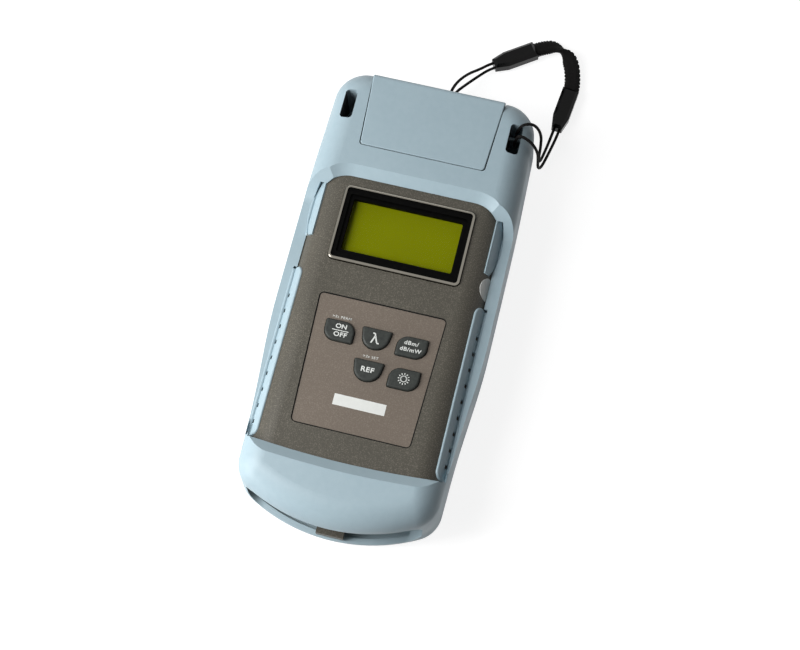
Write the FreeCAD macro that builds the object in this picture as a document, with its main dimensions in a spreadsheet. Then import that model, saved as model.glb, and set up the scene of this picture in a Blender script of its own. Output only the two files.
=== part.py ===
import FreeCAD, Part
import math
import os
import re

import Sketcher

# An optical power meter in its rubber boot, lying on its back. Millimetres, X to the right of the
# display, Y towards the head, Z up out of the display, the table at Z = 0. Places along the meter
# are distances from the end of its head.

V = FreeCAD.Vector

SIZES = (
    # The boot: widths of its plan, its height, its rounded rims and its walls.
    ("boot_length", 181.6), ("head_width", 83.3), ("waist_width", 86.3), ("knee_width", 80.9),
    ("foot_width", 79.3), ("shoulder_at", 48.3), ("hip_at", 106.3), ("knee_at", 140.3),
    ("foot_round", 70.1), ("boot_height", 37.5), ("front_rim", 10.5), ("rear_rim", 7),
    ("head_corner", 13), ("foot_corner", 12), ("flank_blend", 10), ("boot_floor", 2.2),
    ("fit_gap", 0.3), ("side_draft", 2.6), ("cheek_reach", 2.6),
    # The opening in the boot that shows the instrument.
    ("opening_at", 44.8), ("opening_end", 154.3), ("opening_width", 74.4), ("opening_corner", 13),
    ("opening_sag", 1.9), ("lip_slope", 51), ("side_edge", 27.5), ("scoop_head", 54),
    ("scoop_foot", 148), ("scoop_run", 11), ("scoop_rise", 11), ("scoop_round", 8),
    # The strap lug behind the head, and the two slots in its cheeks.
    ("lug_reach", 10), ("lug_width", 15), ("lug_shift", 1.5), ("lug_bar", 2.8),
    ("lug_leg", 2.5), ("lug_low", 9.4), ("lug_thick", 3.6), ("lug_round", 1.2),
    ("slot_at", 16.05), ("slot_length", 12.5), ("slot_width", 5), ("slot_middle", 33.5),
    ("slot_floor", 16), ("slot_corner", 1.6), ("slot_bar", 1.6), ("slot_bar_height", 29),
    ("slot_bar_at", 12.7),
    # The crescent slot through the foot of the boot, and the window in its back.
    ("crescent_width", 68), ("crescent_height", 20), ("crescent_low", 8), ("crescent_round", 6),
    ("strip_thick", 2.6), ("well_width", 58), ("well_floor", 4.5),
    ("window_at", 78), ("window_length", 76), ("window_width", 48), ("window_corner", 6),
    # The hinged cover over the optical port.
    ("cover_length", 32), ("cover_head_width", 53.8), ("cover_front_width", 49.8),
    ("cover_thick", 2.6), ("cover_seam", 0.35), ("cover_corner", 1.4), ("cover_edge", 0.5),
    ("cover_nose", 1.8), ("cover_inset", 1.1), ("hinge_height", 19.6), ("hinge_inset", 3.9),
    ("hinge_barrel", 5.2), ("hinge_pin", 2), ("hinge_play", 0.16), ("pin_grip", 4), ("chamber_floor", 3),
    ("chamber_width", 50), ("end_wall", 3), ("barrel_gap", 0.5),
    # The instrument's case.
    ("case_at", 24.2), ("case_width", 75.2), ("case_foot_gap", 6.3), ("case_height", 31.8),
    ("case_corner", 11), ("case_front_rim", 10.5), ("case_rear_rim", 5), ("case_wall", 2),
    ("parting_height", 12.5), ("boss_x", 28.6), ("boss_head_at", 44), ("boss_foot_at", 154),
    ("boss_width", 6), ("screw_shank", 2.4), ("screw_head", 4.6), ("screw_head_deep", 1.8),
    ("screw_long", 22), ("screw_play", 0.2), ("screw_sink", 0.3), ("tab_width", 10.6),
    ("tab_shift", -0.2), ("tab_inset", 1.2),
    # The soft grips set into the sides of the case.
    ("grip_proud", 0.7), ("grip_seat", 1.2), ("grip_reach", 49), ("grip_low", 13),
    ("web_reach", 6), ("lower_grip_at", 84.3), ("lower_grip_length", 69),
    ("upper_grip_at", 48.2), ("upper_grip_length", 22.8), ("grip_edge", 0.6), ("grip_corner", 3.5),
    ("notch_count", 9), ("notch_pitch", 6.4), ("notch_width", 1.6), ("notch_start", 12),
    ("notch_top", 29.5), ("notch_reach", 0.8), ("relief_high", 32.3),
    ("relief_low", 12), ("relief_gap", 0.3), ("lens_round", 30),
    # The display: its rim, dark frame, window and glass.
    ("display_at", 64.3), ("rim_width", 52), ("rim_length", 31.1), ("rim_band", 1),
    ("rim_proud", 1.2), ("rim_corner", 2.2), ("rim_gap", 0.2), ("view_width", 43.7),
    ("view_length", 21.4), ("view_step", 1.5), ("step_deep", 1), ("frame_sink", 0.5),
    ("view_corner", 0.8), ("glass_width", 48), ("glass_length", 26), ("glass_thick", 1.6),
    ("window_thick", 0.8), ("window_gap", 0.2), ("backlight_thick", 2),
    # The key panel and its five keys.
    ("panel_at", 93.4), ("panel_length", 51.8), ("panel_top_width", 49.8),
    ("panel_foot_width", 45.8), ("panel_corner", 2), ("panel_thick", 0.5), ("panel_sink", 0.3),
    ("panel_gap", 0.15), ("key_width", 11.6), ("key_length", 8), ("key_lean", 1.3),
    ("key_round", 4.3), ("key_nose", 0.7), ("key_gap", 0.25), ("key_crown", 0.8),
    ("key_proud", 1), ("key_flange", 1), ("key_flange_thick", 1.2), ("key_travel", 0.8),
    ("key_row", 107.3), ("key_row_pitch", 12.75), ("key_pitch", 14.1), ("key_shift", 0.3),
    ("contact_width", 6), ("contact_thick", 0.4),
    # The circuit board and the optics.
    ("board_at", 42), ("board_length", 122), ("board_width", 50), ("board_thick", 1.6),
    ("board_height", 25.4), ("post_width", 5), ("post_x", 21.5), ("post_head_at", 48),
    ("post_foot_at", 158), ("port_x", -8), ("port_height", 26.8), ("port_flange", 10.4),
    ("port_flange_thick", 2), ("port_barrel", 8), ("port_reach", 8), ("port_neck", 9),
    ("port_nose", 5), ("port_nose_reach", 1.5), ("ferrule_bore", 2.5), ("housing_width", 10),
    ("housing_long", 11), ("diode_can", 4.7), ("diode_long", 4), ("diode_flange", 5.4),
    ("diode_rim", 1), ("jack_x", 15), ("jack_width", 8), ("jack_body", 10.4), ("jack_bore", 5.5),
    ("jack_pin", 2),
    ("jack_long", 11), ("jack_bore_deep", 9),
    # The battery bay.
    ("bay_at", 86), ("bay_length", 60), ("bay_width", 34), ("bay_wall", 1.5),
    ("bay_depth", 9), ("door_gap", 0.3), ("door_hinge_gap", 1), ("door_pivot_inset", 0.9),
    ("door_pivot_height", 1.3), ("pivot_width", 1.2), ("pivot_play", 0.16), ("pivot_long", 1.6),
    ("latch_width", 12), ("latch_deep", 1.4), ("cell_width", 14.5), ("cell_length", 50.5),
    ("cell_nub", 5.5), ("cell_nub_long", 1), ("cell_gap", 0.3), ("spring_width", 7),
    ("spring_long", 5.2), ("plate_thick", 0.4), ("plate_width", 12),
    # The round label on the side of the case.
    ("label_at", 76.4), ("label_width", 9.1), ("label_thick", 0.15), ("label_lean", 25),
    # The wrist strap on the table.
    ("cord_width", 1.2), ("connector_long", 19), ("connector_width", 7),
    ("connector_thick", 6), ("connector_nose", 4.4), ("connector_edge", 1.2),
    ("band_width", 6.2),
)
ALIASES = dict(SIZES)

doc = FreeCAD.newDocument("optical_power_meter")
sizes = doc.addObject("Spreadsheet::Sheet", "sizes")
for row, (alias, number) in enumerate(SIZES, 1):
    sizes.set(f"A{row}", alias)
    sizes.set(f"B{row}", str(number))
    sizes.setAlias(f"B{row}", alias)
doc.recompute()


def bind(text):
    """An expression in which each size is read from the sheet."""
    return re.sub(r"[a-z_]+", lambda m: "sizes." + m[0] if m[0] in ALIASES else m[0], text)


def size(text):
    """The value of an expression in the sizes."""
    return float(sizes.evalExpression(bind(text)))


# Places that more than one piece uses.
HEAD = "((boot_length - lug_reach) / 2)"
FOOT = "(-(boot_length + lug_reach) / 2)"
BROW = f"({HEAD} + cheek_reach)"
FOOT_CENTRE = f"({FOOT} + foot_round)"
CASE_FRONT = "(boot_floor + case_height)"
CASE_ROUND = "(foot_round - case_foot_gap)"
SHELL_INSIDE = f"({CASE_FRONT} - case_wall)"
BOARD_TOP = "(board_height + board_thick)"
GLASS_TOP = f"({BOARD_TOP} + backlight_thick + glass_thick)"
WINDOW_TOP = f"({GLASS_TOP} + window_gap + window_thick)"
LUG_TIP = f"({HEAD} + lug_reach)"


def along(distance):
    """The place that lies a distance from the end of the head."""
    return f"({HEAD} - ({distance}))"


def add_body(label):
    body = doc.addObject("PartDesign::Body", label)
    body.Label = label
    return body


def add_sketch(body, plane, offset):
    """A sketch parallel to one of the body's origin planes, at a place on the axis across it."""
    sketch = body.newObject("Sketcher::SketchObject", "Sketch")
    origin = [item for item in body.Origin.OriginFeatures if item.Role == plane + "_Plane"][0]
    sketch.AttachmentSupport = [(origin, "")]
    sketch.MapMode = "FlatFace"
    sign = "-" if plane == "XZ" else ""
    sketch.setExpression("AttachmentOffset.Base.z", bind(f"{sign}({offset})"))
    return sketch


def dimension(sketch, kind, items, text):
    """A dimension of the sketch, bound to an expression."""
    index = sketch.addConstraint(Sketcher.Constraint(kind, *items, size(text)))
    name = f"{kind}{index}"
    sketch.renameConstraint(index, name)
    sketch.setExpression(f"Constraints.{name}", bind(text))


def locate(sketch, item, point, x, y):
    dimension(sketch, "DistanceX", (-1, 1, item, point), x)
    dimension(sketch, "DistanceY", (-1, 1, item, point), y)


def bulge(start, end, radius):
    """The arc from start to end that bulges to the right of that way, or left below zero."""
    chord = end - start
    half = chord.Length / 2
    left = V(-chord.y, chord.x, 0).normalize()
    centre = (start + end) / 2 + left * math.copysign(math.sqrt(radius**2 - half**2), radius)
    first, last = (start, end) if radius > 0 else (end, start)
    angles = [math.atan2(p.y - centre.y, p.x - centre.x) for p in (first, last)]
    return Part.ArcOfCircle(Part.Circle(centre, V(0, 0, 1), abs(radius)), *angles)


def draw_outline(sketch, corners):
    """A closed outline through corners (x, y), or (x, y, radius) where an arc follows."""
    points = [V(size(c[0]), size(c[1]), 0) for c in corners]
    ends = []
    for index, corner in enumerate(corners):
        start, end = points[index], points[(index + 1) % len(points)]
        radius = size(corner[2]) if len(corner) > 2 else None
        edge = bulge(start, end, radius) if radius else Part.LineSegment(start, end)
        item = sketch.addGeometry(edge, False)
        ends.append((item, 2, 1) if radius and radius < 0 else (item, 1, 2))
    for index, corner in enumerate(corners):
        item, first, last = ends[index]
        following = ends[(index + 1) % len(ends)]
        sketch.addConstraint(
            Sketcher.Constraint("Coincident", item, last, following[0], following[1])
        )
        locate(sketch, item, first, corner[0], corner[1])
        if len(corner) > 2:
            sign = "-" if size(corner[2]) < 0 else ""
            dimension(sketch, "Radius", (item,), f"{sign}({corner[2]})")


def draw_circle(sketch, x, y, width):
    circle = Part.Circle(V(size(x), size(y), 0), V(0, 0, 1), size(width) / 2)
    item = sketch.addGeometry(circle, False)
    dimension(sketch, "Diameter", (item,), width)
    locate(sketch, item, 3, x, y)


def draw_box(sketch, x, y, width, length):
    """A rectangle centred on x and y."""
    left, right = f"({x}) - ({width}) / 2", f"({x}) + ({width}) / 2"
    low, high = f"({y}) - ({length}) / 2", f"({y}) + ({length}) / 2"
    draw_outline(sketch, [(left, low), (right, low), (right, high), (left, high)])


def settle(body, feature):
    """Makes the body's newest feature, and stops where it can't be made."""
    doc.recompute()
    if {"Invalid", "Error"} & set(feature.State):
        raise ValueError(f"{feature.Name} of {body.Label} can't be made")
    return feature


def pad(body, sketch, length, middle=False, down=False, taper=None):
    feature = body.newObject("PartDesign::Pad", "Pad")
    feature.Profile = sketch
    feature.setExpression("Length", bind(length))
    feature.Midplane = middle
    feature.Reversed = down
    if taper:
        feature.setExpression("TaperAngle", bind(taper))
    return settle(body, feature)


def pocket(body, sketch, length, middle=False, up=False, taper=None):
    """A cut below the sketch, or above it, that has to take something away."""
    before = body.Shape.Volume
    feature = body.newObject("PartDesign::Pocket", "Pocket")
    feature.Profile = sketch
    feature.setExpression("Length", bind(length))
    feature.Midplane = middle
    feature.Reversed = up
    if taper:
        feature.setExpression("TaperAngle", bind(taper))
    settle(body, feature)
    if not feature.Shape.Volume < before - 0.001:
        raise ValueError(f"a pocket of {body.Label} cuts nothing")
    return feature


def pick(body, test):
    return [f"Edge{n}" for n, edge in enumerate(body.Shape.Edges, 1) if test(edge)]


def round_edges(body, test, radius, kind="Fillet"):
    """Rounds the edges that pass the test, or chamfers them."""
    names = pick(body, test)
    if not names:
        raise ValueError(f"no edge of {body.Label} to round")
    base = body.Tip
    feature = body.newObject(f"PartDesign::{kind}", kind)
    feature.Base = (base, names)
    feature.setExpression("Radius" if kind == "Fillet" else "Size", bind(radius))
    return settle(body, feature)


def upright(edge):
    """A straight edge along Z, or nearly so."""
    rise = edge.Vertexes[-1].Point - edge.Vertexes[0].Point
    straight = edge.Length - rise.Length < 0.001
    return straight and abs(rise.z) > 0.99 * rise.Length > 0


def level(height, low=None, high=None):
    """A test for edges at a height, with their middles between two places along Y if given."""

    def test(edge):
        box = edge.BoundBox
        flat = abs(box.ZMin - height) < 0.01 and abs(box.ZMax - height) < 0.01
        return flat and (low is None or low < box.Center.y < high)

    return test


def upright_between(low, high):
    def test(edge):
        return upright(edge) and low < edge.BoundBox.Center.y < high

    return test


def on_foot_arc(radius, x):
    """The place on an arc about the foot's centre, at a distance from the middle line."""
    return f"({FOOT_CENTRE} - sqrt(({radius})^2 - ({x})^2))"


def draw_case_plan(sketch, grow):
    """The plan of the instrument's case, moved outward by grow."""
    half = f"(case_width / 2 + {grow})"
    head = f"({along('case_at')} + {grow})"
    radius = f"({CASE_ROUND} + {grow})"
    side = on_foot_arc(radius, half)
    corners = [(f"-{half}", side, radius), (half, side), (half, head), (f"-{half}", head)]
    draw_outline(sketch, corners)


def case_form(body, low, high, grow, front=True, rear=True):
    """A block with the form of the case between two heights, moved outward by grow."""
    sketch = add_sketch(body, "XY", low)
    draw_case_plan(sketch, grow)
    pad(body, sketch, f"{high} - {low}")
    foot, head = size(FOOT), size(f"{along('case_at')} + {grow}") - 1
    round_edges(body, upright_between(foot, head), f"case_corner + {grow}")
    if front:
        round_edges(body, level(size(high), foot, head), f"case_front_rim + {grow}")
    if rear:
        round_edges(body, level(size(low), foot, head), f"case_rear_rim + {grow}")


def make_cut(label, base, *tools):
    """Base without the tools, as one object with this label."""
    for tool in tools:
        cut = doc.addObject("Part::Cut", "Cut")
        cut.Base = base
        cut.Tool = tool
        base = cut
    doc.recompute()
    base.Label = label
    return base


def soften(before, corner, after, run, inward=False):
    """Two corners in place of one, a run from it, joined by an arc tangent to both sides."""

    def toward(other):
        dx, dy = f"({other[0]} - ({corner[0]}))", f"({other[1]} - ({corner[1]}))"
        share = f"({run}) / sqrt({dx}^2 + {dy}^2)"
        return f"({corner[0]} + {dx} * {share})", f"({corner[1]} + {dy} * {share})"

    first, last = toward(before), toward(after)
    chord = f"(({last[0]} - {first[0]})^2 + ({last[1]} - {first[1]})^2)"
    radius = f"(({run}) * sqrt({chord}) / sqrt(4 * ({run})^2 - {chord}))"
    return [first + (f"-{radius}" if inward else radius,), last]


def soften_all(corners, runs):
    """The outline with an arc at each corner, at its own run."""
    count = len(corners)
    rounded = []
    for n, corner in enumerate(corners):
        rounded += soften(corners[n - 1], corner, corners[(n + 1) % count], runs[n])
    return rounded


def mirror(side):
    """The corners of the left side, in their order, from those of the right side."""
    left = [(f"-({corner[0]})", corner[1]) for corner in reversed(side)]
    for index, corner in enumerate(side):
        if len(corner) > 2:
            left[len(side) - 2 - index] += (corner[2],)
    return left


def boot_blank():
    """The solid outside of the boot, with the lug for the strap."""
    body = add_body("boot_blank")
    sketch = add_sketch(body, "XY", "0")
    foot = on_foot_arc("foot_round", "foot_width / 2")
    ankle, knee = ("(foot_width / 2)", foot), ("(knee_width / 2)", along("knee_at"))
    hip = ("(waist_width / 2)", along("hip_at"))
    shoulder = ("(waist_width / 2)", along("shoulder_at"))
    brow = ("(head_width / 2)", BROW)
    blend = "flank_blend"
    side = [ankle] + soften(ankle, knee, hip, blend, inward=True)
    side += soften(knee, hip, shoulder, blend) + soften(hip, shoulder, brow, blend) + [brow]
    left = mirror(side)
    left[-1] += ("foot_round",)
    draw_outline(sketch, side + left)
    pad(body, sketch, "boot_height", taper="-side_draft")
    near_head = size(along("head_corner / 2"))
    near_foot = size(foot) + 2
    round_edges(body, upright_between(near_head, size(BROW) + 1), "head_corner")
    round_edges(body, upright_between(size(FOOT), near_foot), "foot_corner")
    round_edges(body, level(size("boot_height")), "front_rim")
    round_edges(body, level(0), "rear_rim")
    return body


def boot_lug(body):
    """The loop behind the head that the strap is tied to: two legs and a bar."""
    sketch = add_sketch(body, "XY", "lug_low")
    left = "(-lug_shift - lug_width / 2)"
    right = "(-lug_shift + lug_width / 2)"
    root = f"({HEAD} - end_wall)"
    draw_outline(sketch, [(left, root), (right, root), (right, LUG_TIP), (left, LUG_TIP)])
    pad(body, sketch, "lug_thick")
    tip = size(LUG_TIP)
    round_edges(body, upright_between(tip - 0.01, tip + 0.01), "lug_round * 2")
    rim = [level(size(h), size(BROW), tip + 0.1) for h in ("lug_low", "lug_low + lug_thick")]
    round_edges(body, lambda edge: any(test(edge) for test in rim), "lug_round")
    eye = add_sketch(body, "XY", "lug_low + lug_thick")
    draw_box(
        eye, "-lug_shift", f"({BROW} + {LUG_TIP} - lug_bar) / 2",
        "lug_width - 2 * lug_leg", f"{LUG_TIP} - lug_bar - {BROW}",
    )
    pocket(body, eye, "lug_thick")


def boot_opening(body):
    """The bevelled opening in the front, lowered along both sides."""
    half = "(opening_width / 2)"
    top, bottom = along("opening_at"), along("opening_end")
    sag_radius = f"(({half}^2 + opening_sag^2) / (2 * opening_sag))"
    corners = [(f"-{half}", bottom, sag_radius), (half, bottom), (half, top), (f"-{half}", top)]
    floor = f"({CASE_FRONT} + fit_gap)"
    well = add_sketch(body, "XY", floor)
    draw_outline(well, corners)
    pocket(body, well, f"{floor} - side_edge + scoop_round")
    high = size(top)
    round_edges(body, upright_between(high - 0.01, high + 0.01), "opening_corner")
    bevel = add_sketch(body, "XY", floor)
    turn = "opening_corner"
    arched = [
        corners[0], corners[1], (half, f"{top} - {turn}", turn), (f"{half} - {turn}", top),
        (f"-{half} + {turn}", top, turn), (f"-{half}", f"{top} - {turn}"),
    ]
    draw_outline(bevel, arched)
    pocket(body, bevel, "boot_height - case_height - boot_floor", up=True, taper="lip_slope")
    scoop = add_sketch(body, "YZ", "0")
    above = "side_edge + scoop_rise"
    low_y, high_y = along("scoop_foot"), along("scoop_head")
    draw_outline(
        scoop,
        [
            (low_y, "side_edge"), (high_y, "side_edge"),
            (f"{high_y} + scoop_run", above), (f"{low_y} - scoop_run", above),
        ],
    )
    pocket(body, scoop, "waist_width + 10", middle=True)

    def across(edge):
        box = edge.BoundBox
        if edge.Curve.TypeId != "Part::GeomLine" or abs(edge.tangentAt(0).x) < 0.999:
            return False
        near = min(abs(box.Center.y - size(low_y)), abs(box.Center.y - size(high_y)))
        return near < 0.01 and abs(box.Center.z - size("side_edge")) < 0.01

    round_edges(body, across, "scoop_round")


def boot_cover_seat(body):
    """The recess for the cover, the chamber behind it and the bore for its hinge pin."""
    seat = add_sketch(body, "XY", "boot_height")
    near, far = "(cover_front_width / 2 + cover_seam)", "(cover_head_width / 2 + cover_seam)"
    edge = along("cover_length + cover_seam")
    beyond = f"{BROW} + 1"
    draw_outline(seat, [(f"-{near}", edge), (near, edge), (far, beyond), (f"-{far}", beyond)])
    ledge = "(hinge_height - hinge_barrel / 2 - barrel_gap)"
    pocket(body, seat, f"boot_height - {ledge}")
    low = size(edge)
    round_edges(body, upright_between(low - 0.01, low + 0.01), "cover_corner")
    chamber = add_sketch(body, "XY", ledge)
    length = "(case_at - end_wall)"
    draw_box(chamber, "0", along(f"end_wall + {length} / 2"), "chamber_width", length)
    pocket(body, chamber, f"{ledge} - chamber_floor")
    bore = add_sketch(body, "YZ", "0")
    draw_circle(bore, along("hinge_inset"), "hinge_height", "hinge_pin")
    pocket(body, bore, "cover_head_width + 2 * cover_seam + 2 * pin_grip", middle=True)


def boot_strap_slots(body):
    """The deep slots in the two cheeks, rounded at their corners."""
    for side in ("-", ""):
        slot = add_sketch(body, "XY", "boot_height")
        draw_box(slot, f"{side}slot_middle", along("slot_at"), "slot_width", "slot_length")
        pocket(body, slot, "boot_height - slot_floor")
    ends = [size(along(f"slot_at {sign} slot_length / 2")) for sign in "+-"]
    sides = [size(f"slot_middle {sign} slot_width / 2") for sign in "+-"]

    def slot_corner(edge):
        centre = edge.BoundBox.Center
        at_end = min(abs(centre.y - y) for y in ends) < 0.01
        return upright(edge) and at_end and min(abs(abs(centre.x) - x) for x in sides) < 0.01

    round_edges(body, slot_corner, "slot_corner")


def boot_foot_slot(body):
    """The slot through the foot, and the well behind the strip below it."""
    sketch = add_sketch(body, "XZ", FOOT)
    half, high = "(crescent_width / 2)", "(crescent_low + crescent_height)"
    corners = [(f"-{half}", "crescent_low"), (half, "crescent_low"), (half, high),
               (f"-{half}", high)]
    draw_outline(sketch, soften_all(corners, ["crescent_round"] * 4))
    pocket(body, sketch, "case_foot_gap + foot_round / 3")
    well = add_sketch(body, "XY", "crescent_low + 1")
    radius = "(foot_round - strip_thick)"
    side = on_foot_arc(radius, "well_width / 2")
    back = f"({FOOT} + case_foot_gap + foot_round / 3)"
    draw_outline(
        well,
        [
            ("-well_width / 2", side, radius), ("well_width / 2", side),
            ("well_width / 2", back), ("-well_width / 2", back),
        ],
    )
    pocket(body, well, "crescent_low + 1 - well_floor")


def boot_window(body):
    """The window in the back that shows the battery door."""
    window = add_sketch(body, "XY", "0")
    draw_box(window, "0", along("window_at + window_length / 2"), "window_width", "window_length")
    pocket(body, window, "boot_floor + 1", up=True)
    low, high = size(along("window_at + window_length")), size(along("window_at"))

    def window_corner(edge):
        at_end = min(abs(edge.BoundBox.Center.y - y) for y in (low, high)) < 0.01
        at_side = abs(abs(edge.BoundBox.Center.x) - size("window_width / 2")) < 0.01
        return upright(edge) and at_end and at_side

    round_edges(body, window_corner, "window_corner")


LENS_AT = along("upper_grip_at + upper_grip_length / 2")
LENS_X = "(case_width / 2 + grip_proud - lens_round)"


def both_sides(corners):
    """An outline on the right and its mirror image on the left."""
    return [corners, mirror(corners)]


def boot_reliefs(body):
    """The room for the grips in the side walls: a lens above and a long well below."""
    inner = "(case_width / 2 - 2)"
    outer = "(case_width / 2 + grip_proud + relief_gap)"
    radius = "(lens_round + relief_gap)"
    half = f"sqrt({radius}^2 - ({inner} - {LENS_X})^2)"
    lens = [
        ("(opening_width / 2 - 5)", f"{LENS_AT} - {half}"), (inner, f"{LENS_AT} - {half}", radius),
        (inner, f"{LENS_AT} + {half}"), ("(opening_width / 2 - 5)", f"{LENS_AT} + {half}"),
    ]
    low = along("lower_grip_at + lower_grip_length + relief_gap")
    high = along("lower_grip_at - relief_gap")
    well = [(inner, low), (outer, low), (outer, high), (inner, high)]
    for corners in both_sides(lens) + both_sides(well):
        sketch = add_sketch(body, "XY", "relief_high")
        draw_outline(sketch, corners)
        pocket(body, sketch, "relief_high - relief_low")


def make_boot():
    body = boot_blank()
    boot_opening(body)
    boot_cover_seat(body)
    boot_reliefs(body)
    boot_strap_slots(body)
    boot_window(body)
    boot_foot_slot(body)
    boot_lug(body)
    cavity = add_body("boot_cavity")
    case_form(cavity, "boot_floor", f"{CASE_FRONT} + fit_gap", "fit_gap")
    hollow_boot = make_cut("hollow_boot", body, cavity)
    bar = add_cylinder(
        "slot_bar_rod", "slot_bar", "slot_width + 1", "slot_middle - slot_width / 2 - 0.5",
        along("slot_bar_at"), "slot_bar_height", V(1, 0, 0),
    )
    boot = doc.addObject("Part::Fuse", "boot")
    boot.Base = hollow_boot
    boot.Tool = bar
    boot.Label = "boot"
    return boot


def make_cover():
    """The cover: a tapered front panel, an end panel and a hinge barrel."""
    body = add_body("port_cover")
    near, far = "(cover_front_width / 2)", "(cover_head_width / 2)"
    edge = along("cover_length")
    plan = add_sketch(body, "XY", "boot_height")
    end = along("cover_inset")
    draw_outline(plan, [(f"-{near}", edge), (near, edge), (far, end), (f"-{far}", end)])
    pad(body, plan, "boot_height - hinge_height", down=True)
    round_edges(body, upright_between(size(edge) - 0.01, size(edge) + 0.01), "cover_corner")
    inside = add_sketch(body, "YZ", "0")
    inner_end = along("cover_inset + cover_thick")
    under = "boot_height - cover_thick"
    draw_outline(
        inside,
        [
            (f"{edge} - 1", "hinge_height - 1"), (inner_end, "hinge_height - 1"),
            (inner_end, under), (f"{edge} - 1", under),
        ],
    )
    pocket(body, inside, "cover_head_width + 2", middle=True)
    nose = level(size("boot_height"), size(end) - 0.01, size(end) + 0.01)
    round_edges(body, nose, "cover_nose")
    round_edges(body, level(size("boot_height")), "cover_edge")
    barrel = add_sketch(body, "YZ", "0")
    draw_circle(barrel, along("hinge_inset"), "hinge_height", "hinge_barrel")
    pad(body, barrel, "cover_head_width - 2 * cover_seam", middle=True)
    bore = add_sketch(body, "YZ", "0")
    draw_circle(bore, along("hinge_inset"), "hinge_height", "hinge_pin + hinge_play")
    pocket(body, bore, "cover_head_width + 2", middle=True)
    return body


def add_cylinder(label, width, length, x, y, z, axis):
    """A cylinder that starts at a place and runs along an axis."""
    part = doc.addObject("Part::Cylinder", label)
    part.Label = label
    part.setExpression("Radius", bind(f"({width}) / 2"))
    part.setExpression("Height", bind(length))
    part.Placement = FreeCAD.Placement(V(), FreeCAD.Rotation(V(0, 0, 1), axis))
    for name, text in zip("xyz", (x, y, z)):
        part.setExpression(f"Placement.Base.{name}", bind(text))
    return part


def add_box(label, x, y, z, width, length, height):
    """A box centred on x and y that stands on z."""
    part = doc.addObject("Part::Box", label)
    part.Label = label
    for name, text in zip(("Length", "Width", "Height"), (width, length, height)):
        part.setExpression(name, bind(text))
    part.setExpression("Placement.Base.x", bind(f"({x}) - ({width}) / 2"))
    part.setExpression("Placement.Base.y", bind(f"({y}) - ({length}) / 2"))
    part.setExpression("Placement.Base.z", bind(z))
    return part


def make_hinge_pin():
    length = "(cover_head_width + 2 * cover_seam + 2 * pin_grip)"
    return add_cylinder(
        "cover_hinge_pin", "hinge_pin", length, f"-{length} / 2",
        along("hinge_inset"), "hinge_height", V(1, 0, 0),
    )


def hollow(body, height):
    """Takes the inside out of a shell, through its flat face at a height."""
    def open_face(face):
        box = face.BoundBox
        return abs(box.ZMin - height) < 0.01 and abs(box.ZMax - height) < 0.01

    names = [f"Face{n}" for n, face in enumerate(body.Shape.Faces, 1) if open_face(face)]
    base = body.Tip
    feature = body.newObject("PartDesign::Thickness", "Thickness")
    feature.Base = (base, names)
    feature.setExpression("Value", bind("case_wall"))
    feature.Reversed = True
    feature.Mode = 0
    feature.Join = 1
    return settle(body, feature)


def boss_places():
    return [(x, along(y)) for x in ("-boss_x", "boss_x") for y in ("boss_head_at", "boss_foot_at")]


# Each key: its name, its column and row, its corners with a large round, and its lower corners'
# lean towards its middle.
KEYS = (
    ("on_off_key", -1, 0, (0, 2), 0),
    ("wavelength_key", 0, 0, (0, 1), 1),
    ("unit_key", 1, 0, (1, 3), 0),
    ("reference_key", 0, 1, (0, 1), 1),
    ("backlight_key", 1, 1, (1, 3), 0),
)


def key_outline(body, key, height, grow):
    """The outline of a key on a sketch, moved outward by grow."""
    name, column, row, rounded, lean = key
    x = f"(key_shift + {column} * key_pitch)"
    y = along(f"key_row + {row} * key_row_pitch")
    half, tall = f"(key_width / 2 + {grow})", f"(key_length / 2 + {grow})"
    foot = f"({half} - {lean} * key_lean)"
    corners = [
        (f"({x} - {foot})", f"({y} - {tall})"), (f"({x} + {foot})", f"({y} - {tall})"),
        (f"({x} + {half})", f"({y} + {tall})"), (f"({x} - {half})", f"({y} + {tall})"),
    ]
    rounds = ["key_round" if n in rounded else "key_nose" for n in range(4)]
    sketch = add_sketch(body, "XY", height)
    draw_outline(sketch, soften_all(corners, [f"{run} + {grow}" for run in rounds]))
    return sketch


def make_key(key):
    """A key: a crowned cap, and a flange that keeps it behind the case."""
    body = add_body(key[0])
    seat = f"({SHELL_INSIDE} - fit_gap - key_flange_thick)"
    flange = key_outline(body, key, seat, "key_flange")
    pad(body, flange, "key_flange_thick")
    stem = f"({BOARD_TOP} + contact_thick + key_travel + fit_gap)"
    plunger = add_sketch(body, "XY", seat)
    column, row = key[1], key[2]
    draw_circle(
        plunger, f"key_shift + {column} * key_pitch",
        along(f"key_row + {row} * key_row_pitch"), "contact_width",
    )
    pad(body, plunger, f"{seat} - {stem}", down=True)
    shoulder = f"({SHELL_INSIDE} - fit_gap)"
    cap = key_outline(body, key, shoulder, "0")
    top = f"({CASE_FRONT} + key_proud)"
    pad(body, cap, f"{top} - {shoulder}")
    round_edges(body, level(size(top)), "key_crown")
    return body


def draw_panel(sketch, grow):
    """The tapered outline of the key panel, moved outward by grow."""
    head, foot = f"(panel_top_width / 2 + {grow})", f"(panel_foot_width / 2 + {grow})"
    high = f"({along('panel_at')} + {grow})"
    low = f"({along('panel_at + panel_length')} - {grow})"
    corners = [(f"(-{foot})", low), (foot, low), (head, high), (f"(-{head})", high)]
    draw_outline(sketch, soften_all(corners, [f"panel_corner + {grow}"] * 4))


def draw_round_box(sketch, width, length, corner):
    """A rectangle about the middle of the display, with rounded corners."""
    x, y = f"(({width}) / 2)", along("display_at")
    low, high = f"({y} - ({length}) / 2)", f"({y} + ({length}) / 2)"
    corners = [(f"(-{x})", low), (x, low), (x, high), (f"(-{x})", high)]
    draw_outline(sketch, soften_all(corners, [corner] * 4))


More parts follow.
